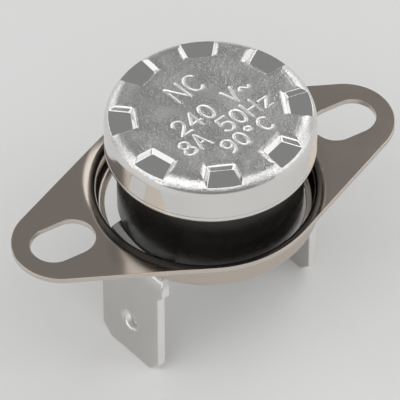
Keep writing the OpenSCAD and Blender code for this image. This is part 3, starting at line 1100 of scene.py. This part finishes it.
    def face(self, lettering: Lettering) -> Surface:
        """Makes the middle of the sensing face.

        Args:
            lettering: The stamped rating.

        Returns:
            A disc of rings whose height is the relief of the rating.
        """
        turn, rows = full_turn(self.face_columns), np.linspace(SUPPORT, self.seam_r, self.face_rows)
        places = polar(*np.meshgrid(rows, turn, indexing="ij")).reshape(-1, 2)
        relief, stroke = lettering.groove(places)
        layers = {Skin.POLISH.value: np.zeros(len(places)), Skin.STAMP.value: stroke}
        points = np.column_stack([places, self.top + relief])
        return Surface(points, [grid_faces(len(rows), len(turn))], layers)

    def dress(self, lettering: Lettering, material: bpy.types.Material) -> None:
        """Adds the shell and the stamped face of the cap with their finish."""
        for name, surface in (("cap_shell", self.shell()), ("cap_face", self.face(lettering))):
            fit(name, surface, material, Body.SWITCH, "sensing_cap")


def placed(name: str, data: bpy.types.ID) -> bpy.types.Object:
    """Makes an object at the origin and links it to the scene.

    Args:
        name: Name of the object.
        data: Its mesh, light or camera.

    Returns:
        The object.
    """
    made = bpy.data.objects.new(name, data)
    bpy.context.scene.collection.objects.link(made)
    return made


def add_object(name: str, surface: Surface, material: bpy.types.Material) -> bpy.types.Object:
    """Makes a smooth-shaded object from a surface and reports it.

    Args:
        name: Name of the object and its mesh.
        surface: The surface, in millimetres.
        material: Its finish.

    Returns:
        The linked object, at the origin.
    """
    mesh = bpy.data.meshes.new(name)
    sizes = np.concatenate([np.full(len(f), f.shape[1]) for f in surface.faces])
    loops = np.concatenate([f.ravel() for f in surface.faces]).astype(np.int32)
    mesh.vertices.add(len(surface.points))
    mesh.vertices.foreach_set("co", (surface.points * MM).astype(np.float32).ravel())
    mesh.loops.add(len(loops))
    mesh.loops.foreach_set("vertex_index", loops)
    mesh.polygons.add(len(sizes))
    starts = np.concatenate([[0], np.cumsum(sizes)[:-1]]).astype(np.int32)
    mesh.polygons.foreach_set("loop_start", starts)
    mesh.polygons.foreach_set("use_smooth", np.ones(len(sizes), dtype=bool))
    for layer, values in surface.layers.items():
        attribute = mesh.attributes.new(layer, "FLOAT", "POINT")
        attribute.data.foreach_set("value", values.astype(np.float32))
    mesh.update(calc_edges=True)
    mesh.validate()
    mesh.materials.append(material)
    LOG.info("%s: %d vertices", name, len(surface.points))
    return placed(name, mesh)


def fit(name: str, surface: Surface, material: bpy.types.Material, body: Body, node: str) -> None:
    """Adds a dressed piece in place of a CAD node.

    Args:
        name: Name of the piece.
        surface: Its surface, in millimetres.
        material: Its finish.
        body: The body that carries it.
        node: The node that it replaces, or replaces a part of.
    """
    piece = add_object(name, surface, material)
    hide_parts(node)
    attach(piece, body.value)


class NodeGraph:
    """A material's shader nodes, made from nothing."""

    def __init__(self, name: str) -> None:
        """Makes a material with a shader and its output.

        Args:
            name: Name of the material.
        """
        self.material = bpy.data.materials.new(name)
        self.material.use_nodes = True
        self.tree = self.material.node_tree
        self.tree.nodes.clear()
        self.shader = self.add("ShaderNodeBsdfPrincipled")
        output = self.add("ShaderNodeOutputMaterial")
        self.link(self.shader.outputs["BSDF"], output.inputs["Surface"])

    def add(self, kind: str, **values: object) -> bpy.types.Node:
        """Adds a node and sets its properties, or its inputs where no property has that name.

        Args:
            kind: Name of the node's type.
            values: Properties or input values, with spaces in names as underscores.

        Returns:
            The node.
        """
        made = self.tree.nodes.new(kind)
        for key, value in values.items():
            if hasattr(made, key):
                setattr(made, key, value)
            else:
                made.inputs[key.replace("_", " ")].default_value = value
        return made

    def link(self, source: bpy.types.NodeSocket, target: bpy.types.NodeSocket) -> None:
        """Joins an output to an input."""
        self.tree.links.new(source, target)

    def attribute(self, layer: Skin) -> bpy.types.NodeSocket:
        """Output of a vertex attribute."""
        return self.add("ShaderNodeAttribute", attribute_name=layer.value).outputs["Fac"]

    def noise(self, scale: float, stretch: tuple[float, float, float] = (1, 1, 1), turn: float = 0.0,
              detail: float = 3.0) -> bpy.types.NodeSocket:
        """Noise in the object's own space.

        Args:
            scale: Waves to the metre.
            stretch: Factor on each axis.
            turn: Turn about Z before stretching, in degrees.
            detail: Number of finer layers.

        Returns:
            The noise value from 0 to 1.
        """
        place = self.add("ShaderNodeTexCoord")
        mapping = self.add("ShaderNodeMapping", vector_type="TEXTURE")
        mapping.inputs["Rotation"].default_value = (0.0, 0.0, math.radians(turn))
        mapping.inputs["Scale"].default_value = tuple(1.0 / s for s in stretch)
        noise = self.add("ShaderNodeTexNoise", Scale=scale, Detail=detail)
        self.link(place.outputs["Object"], mapping.inputs["Vector"])
        self.link(mapping.outputs["Vector"], noise.inputs["Vector"])
        return noise.outputs["Fac"]

    def span(self, value: bpy.types.NodeSocket, low: float, high: float, start: float = 0.0,
             end: float = 1.0) -> bpy.types.NodeSocket:
        """Maps the stretch from start to end of a value to the stretch from low to high.

        Args:
            value: The value to map.
            low: Result at start.
            high: Result at end.
            start: Value that gives low.
            end: Value that gives high.

        Returns:
            The mapped value.
        """
        ramp = self.add("ShaderNodeMapRange")
        for key, number in (("From Min", start), ("From Max", end), ("To Min", low), ("To Max", high)):
            ramp.inputs[key].default_value = number
        self.link(value, ramp.inputs["Value"])
        return ramp.outputs["Result"]

    def math(self, operation: Op, a: bpy.types.NodeSocket,
             b: bpy.types.NodeSocket | float) -> bpy.types.NodeSocket:
        """Combines two values.

        Args:
            operation: What to work out.
            a: First value.
            b: Second value, a socket or a number.

        Returns:
            The result.
        """
        made = self.add("ShaderNodeMath", operation=operation.value)
        self.link(a, made.inputs[0])
        if isinstance(b, float):
            made.inputs[1].default_value = b
        else:
            self.link(b, made.inputs[1])
        return made.outputs["Value"]

    def blend(self, factor: bpy.types.NodeSocket, low: tuple, high: tuple) -> None:
        """Colours the shader between two colours.

        Args:
            factor: 0 for the first colour and 1 for the second.
            low: First colour.
            high: Second colour.
        """
        mix = self.add("ShaderNodeMix", data_type="RGBA")
        for socket in mix.inputs:
            if socket.type == "RGBA":
                socket.default_value = low if socket.name == "A" else high
        self.link(factor, mix.inputs["Factor"])
        self.link(next(o for o in mix.outputs if o.type == "RGBA"), self.shader.inputs["Base Color"])

    def bump(self, height: bpy.types.NodeSocket, depth_mm: float) -> None:
        """Raises the shading by a height map.

        Args:
            height: Heights from 0 to 1.
            depth_mm: Height that 1 stands for.
        """
        made = self.add("ShaderNodeBump", Strength=1.0, Distance=depth_mm * MM)
        self.link(height, made.inputs["Height"])
        self.link(made.outputs["Normal"], self.shader.inputs["Normal"])

    def rough(self, value: bpy.types.NodeSocket) -> None:
        """Drives the shader's roughness."""
        self.link(value, self.shader.inputs["Roughness"])

    def set(self, **values: object) -> None:
        """Sets constant inputs of the shader, with spaces in names as underscores."""
        for key, value in values.items():
            self.shader.inputs[key.replace("_", " ")].default_value = value


# Stretch of a noise value over which patches of tone or roughness pass from one to the other.
PATCHES = (0.3, 0.7)


@dataclass(frozen=True)
class CapAluminium:
    """Drawn aluminium: grainy, pitted and scratched on the face, polished where tools have pressed it.

    Args:
        dark: Darker colour of the speckle.
        light: Lighter colour of the speckle.
        strokes: Direction in degrees, and waves to the metre, of each family of scratches.
        grain_mm: Height of the grain where the face is not polished.
    """

    dark: tuple = (0.56, 0.55, 0.535, 1.0)
    light: tuple = (0.93, 0.925, 0.91, 1.0)
    strokes: tuple = ((24.0, 260.0), (68.0, 300.0), (-62.0, 240.0))
    grain_mm: float = 0.02

    def scratches(self, graph: NodeGraph) -> bpy.types.NodeSocket:
        """Sparse fine lines in three directions.

        Args:
            graph: The material's nodes.

        Returns:
            1 in a scratch and 0 elsewhere: the crests of noise drawn out along each direction.
        """
        total = None
        for turn, scale in self.strokes:
            drawn_out = graph.noise(scale, (1.0, 40.0, 1.0), turn, 1.0)
            crest = graph.span(drawn_out, 0.0, 1.0, 0.66, 0.74)
            total = crest if total is None else graph.math(Op.MAXIMUM, total, crest)
        return total

    def build(self) -> bpy.types.Material:
        """Makes the material: speckle, patches of roughness, waves, grain, pits and scratches.

        Returns:
            The material.
        """
        graph = NodeGraph("cap_aluminium")
        graph.set(Metallic=1.0)
        polish, stamp = graph.attribute(Skin.POLISH), graph.attribute(Skin.STAMP)
        matt = graph.math(Op.MULTIPLY, graph.span(polish, 1.0, 0.05), graph.span(stamp, 1.0, 0.2))
        speckle = graph.math(Op.SUBTRACT, graph.noise(6400.0, detail=2.0), 0.5)
        shown = graph.math(Op.MULTIPLY, graph.math(Op.MULTIPLY, speckle, matt), 1.5)
        tone = graph.math(Op.ADD, shown, 0.52)
        # The stamped strokes are lightened in colour: a painted highlight on the walls of the strokes.
        stroke_highlight_tone = graph.math(Op.ADD, tone, graph.math(Op.MULTIPLY, stamp, 0.45))
        graph.blend(stroke_highlight_tone, self.dark, self.light)
        patchy = graph.span(graph.noise(600.0), 0.22, 0.36, 0.35, 0.65)
        rough = graph.math(Op.MULTIPLY, patchy, graph.span(polish, 1.0, 0.4))
        graph.rough(graph.math(Op.ADD, rough, graph.span(stamp, 0.0, 0.08)))
        waves = graph.span(graph.noise(420.0, detail=1.0), -3.0, 1.0)
        grain = graph.math(Op.ADD, graph.noise(7000.0, detail=2.0), graph.noise(2600.0, detail=1.0))
        pits = graph.span(graph.noise(3800.0, detail=0.0), 0.0, 0.15, 0.7, 0.76)
        marks = graph.math(Op.ADD, graph.math(Op.MULTIPLY, self.scratches(graph), 0.1), pits)
        relief = graph.math(Op.ADD, graph.math(Op.SUBTRACT, grain, marks), waves)
        graph.bump(graph.math(Op.MULTIPLY, relief, matt), self.grain_mm)
        return graph.material


@dataclass(frozen=True)
class PlatedSheet:
    """Bright plating on stamped sheet, duller on the sheared edges.

    Args:
        name: Name of the material.
        colour: Colour of the faces.
        edge_colour_and_highlight: Colour of the sheared edges: the sheared metal's own colour, lightened by
            a painted highlight.
        patches: Waves to the metre of the patches of roughness.
        roughness: Least and greatest roughness of the faces.
        edge_roughness: How much rougher the sheared edges are.
        ripple: Waves to the metre of the rolling marks.
        stretch: Factor on each axis for the rolling marks.
        ripple_mm: Height of the rolling marks.
    """

    name: str
    colour: tuple
    edge_colour_and_highlight: tuple
    patches: float
    roughness: tuple
    edge_roughness: float
    ripple: float
    stretch: tuple
    ripple_mm: float

    def build(self) -> bpy.types.Material:
        """Makes the material.

        Returns:
            The material.
        """
        graph = NodeGraph(self.name)
        graph.set(Metallic=1.0)
        shear = graph.attribute(Skin.SHEAR)
        # The sheared edges and the rounded mouths of the holes take a lighter colour: a painted highlight
        # along them.
        graph.blend(shear, self.colour, self.edge_colour_and_highlight)
        patchy = graph.span(graph.noise(self.patches), *self.roughness, *PATCHES)
        graph.rough(graph.math(Op.ADD, patchy, graph.span(shear, 0.0, self.edge_roughness)))
        graph.bump(graph.noise(self.ripple, self.stretch), self.ripple_mm)
        return graph.material


# The second, lighter colour of each paints a highlight on the sheared edges.
BRACKET_NICKEL = PlatedSheet("bracket_nickel", (0.54, 0.475, 0.415, 1.0), (0.62, 0.57, 0.52, 1.0),
                             260.0, (0.13, 0.2), 0.1, 700.0, (1, 9, 1), 0.0006)
BLADE_TIN = PlatedSheet("blade_tin", (0.6, 0.59, 0.575, 1.0), (0.9, 0.89, 0.88, 1.0),
                        500.0, (0.1, 0.2), 0.4, 800.0, (6, 6, 1), 0.0008)


@dataclass(frozen=True)
class Phenolic:
    """Glossy black moulded phenolic."""

    colour: tuple = (0.008, 0.0078, 0.0075, 1.0)

    def build(self) -> bpy.types.Material:
        """Makes the material.

        Returns:
            The material.
        """
        graph = NodeGraph("phenolic")
        graph.set(Base_Color=self.colour, Metallic=0.0, IOR=1.5)
        graph.rough(graph.span(graph.noise(400.0), 0.22, 0.34, *PATCHES))
        graph.bump(graph.noise(1800.0), 0.0015)
        return graph.material


@dataclass(frozen=True)
class PlainFinish:
    """A finish for a piece inside the switch or under it, with slight patches of tone and a fine grain.

    Args:
        name: Name of the material.
        colour: Its middle colour.
        metallic: 1 for metal and 0 otherwise.
        roughness: Its middle roughness.
        grain_mm: Depth of the grain.
    """

    name: str
    colour: tuple
    metallic: float
    roughness: float
    grain_mm: float = 0.001

    def build(self) -> bpy.types.Material:
        """Makes the material.

        Returns:
            The material.
        """
        graph = NodeGraph(self.name)
        graph.set(Metallic=self.metallic)
        shades = [tuple(share * c for c in self.colour[:3]) + (1.0,) for share in (0.88, 1.08)]
        graph.blend(graph.span(graph.noise(450.0), 0.0, 1.0, *PATCHES), *shades)
        graph.rough(graph.span(graph.noise(900.0), 0.8 * self.roughness, 1.2 * self.roughness, *PATCHES))
        graph.bump(graph.noise(2500.0), self.grain_mm)
        return graph.material


@dataclass(frozen=True)
class Mechanism:
    """The moulded body and the small pieces in and under it, which keep the shapes of their solids.

    Args:
        finishes: Nodes that share a finish, and that finish.
    """

    finishes: tuple = (
        (("switch_body",), Phenolic()),
        (("guide_plate",), PlainFinish("guide_phenolic", (0.2, 0.11, 0.06), 0.0, 0.45, 0.003)),
        (("bimetal_disc",), PlainFinish("disc_bimetal", (0.5, 0.5, 0.48), 1.0, 0.3)),
        (("transfer_pin",), PlainFinish("pin_ceramic", (0.85, 0.82, 0.74), 0.0, 0.55, 0.004)),
        (("contact_strip",), PlainFinish("strip_brass", (0.72, 0.58, 0.3), 1.0, 0.3)),
        (("arm_rivet", "strip_rivet"), PlainFinish("rivet_tin", (0.7, 0.69, 0.66), 1.0, 0.25)),
        (("moving_contact", "fixed_contact"), PlainFinish("contact_silver", (0.88, 0.87, 0.84), 1.0, 0.2)),
    )

    def dress(self) -> None:
        """Gives every node its finish and reports it."""
        for names, finish in self.finishes:
            material = finish.build()
            for name in names:
                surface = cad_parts[name].data
                surface.materials.clear()
                surface.materials.append(material)
                LOG.info("%s: finished in %s", name, material.name)


def direction(azimuth: float, elevation: float) -> Vector:
    """Unit direction from the object to a camera or a lamp.

    Args:
        azimuth: Turn round the object, in degrees, 0 looking along +Y.
        elevation: Height above the horizon, in degrees.

    Returns:
        Sine and minus cosine of the azimuth, times the cosine of the elevation, and the elevation's sine.
    """
    turn, rise = math.radians(azimuth), math.radians(elevation)
    return Vector((math.sin(turn) * math.cos(rise), -math.cos(turn) * math.cos(rise), math.sin(rise)))


@dataclass(frozen=True)
class Lamp:
    """A soft rectangular light that faces the object.

    Args:
        name: Its name.
        azimuth: Its turn round the object, in degrees, as the camera's is measured.
        elevation: Its height above the horizon, in degrees.
        distance: Its distance from the middle of the object, in metres.
        size: Width and height in metres.
        power: Power in watts.
        middle_z: Height of the middle of the object, in metres.
    """

    name: str
    azimuth: float
    elevation: float
    distance: float
    size: tuple
    power: float
    middle_z: float = 0.012

    def build(self) -> None:
        """Adds the light."""
        back = direction(self.azimuth, self.elevation)
        data = bpy.data.lights.new(self.name, "AREA")
        data.shape = "RECTANGLE"
        data.size, data.size_y = self.size
        data.energy = self.power
        made = placed(self.name, data)
        made.location = back * self.distance + Vector((0.0, 0.0, self.middle_z))
        made.rotation_euler = back.to_track_quat("Z", "Y").to_euler()


@dataclass(frozen=True)
class Studio:
    """Pale floor, soft lights and the camera.

    Args:
        azimuth: Camera's turn round the object, in degrees, 0 looking along +Y.
        elevation: Camera's height above the horizon, in degrees.
        distance: Distance from the camera to the point on the axis that it was fitted to, in millimetres.
        axis_z: Height of that point, in millimetres.
        focal_px: Focal length in pixels of the square image.
        centre_px: Where that point lies in the image, from its left and top.
        sensor_mm: Width of the camera's sensor.
        clip_m: Nearest and farthest distance that the camera sees, in metres.
        floor_half: Half the width of the floor, in metres.
        floor_colour: Colour of the floor.
        floor_rough: Its roughness.
        sky: Even colour all round.
        lamps: The lights.
    """

    azimuth: float = -30.85
    elevation: float = 46.58
    distance: float = 370.56
    axis_z: float = 12.3
    focal_px: float = 4955.4
    centre_px: tuple = (210.4, 188.4)
    sensor_mm: float = 36.0
    clip_m: tuple = (0.01, 10.0)
    floor_half: float = 1.5
    floor_colour: tuple = (0.82, 0.82, 0.81, 1.0)
    floor_rough: float = 0.6
    sky: tuple = (0.285, 0.286, 0.29, 1.0)
    lamps: tuple = (
        Lamp("front", -31.0, 54.0, 0.5, (0.58, 0.48), 0.98),
        Lamp("left", -100.0, 29.0, 0.6, (0.6, 0.64), 1.15),
        Lamp("right", 58.0, 29.0, 0.6, (0.6, 0.64), 1.15),
        Lamp("back right", 116.0, 28.0, 0.6, (0.34, 0.5), 0.65),
        Lamp("back left", 196.0, 16.0, 0.6, (0.5, 0.3), 0.5),
    )

    def camera(self) -> None:
        """Places the camera and aims it so that the axis lies where the photograph has it."""
        turn, back = math.radians(self.azimuth), direction(self.azimuth, self.elevation)
        right = Vector((math.cos(turn), math.sin(turn), 0.0))
        up = back.cross(right)
        target = Vector((0.0, 0.0, self.axis_z))
        place = target + back * self.distance
        per_px = self.distance / self.focal_px
        across, down = (IMAGE_PX / 2 - c for c in self.centre_px)
        aim = target + right * across * per_px - up * down * per_px
        data = bpy.data.cameras.new("camera")
        data.sensor_width = self.sensor_mm
        data.lens = self.focal_px / IMAGE_PX * data.sensor_width
        data.clip_start, data.clip_end = self.clip_m
        made = placed("camera", data)
        made.location = place * MM
        made.rotation_euler = (place - aim).to_track_quat("Z", "Y").to_euler()
        bpy.context.scene.camera = made

    def floor(self) -> None:
        """Makes the floor under the blade ends."""
        graph = NodeGraph("floor")
        graph.set(Base_Color=self.floor_colour, Roughness=self.floor_rough)
        half = self.floor_half
        mesh = bpy.data.meshes.new("floor")
        corners = [(-half, -half, 0), (half, -half, 0), (half, half, 0), (-half, half, 0)]
        mesh.from_pydata(corners, [], [(0, 1, 2, 3)])
        mesh.materials.append(graph.material)
        placed("floor", mesh)

    def lights(self) -> None:
        """Adds the lights and an even background."""
        for lamp in self.lamps:
            lamp.build()
        world = bpy.data.worlds.new("studio")
        world.use_nodes = True
        world.node_tree.nodes["Background"].inputs["Color"].default_value = self.sky
        bpy.context.scene.world = world
        bpy.context.scene.view_settings.view_transform = "Standard"

    def build(self) -> None:
        """Sets up the floor, the lights and the camera."""
        self.camera()
        self.floor()
        self.lights()


def main() -> None:
    """Builds the scene."""
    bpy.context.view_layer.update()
    Studio().build()
    CapShape().dress(Lettering(), CapAluminium().build())
    BracketShape().dress(BRACKET_NICKEL.build())
    TerminalShape().dress(BLADE_TIN.build())
    ArmShape().dress(PlainFinish("arm_copper", (0.72, 0.45, 0.28), 1.0, 0.3).build())
    Mechanism().dress()


if __name__ == "__main__":
    logging.basicConfig(level=logging.INFO)
    main()
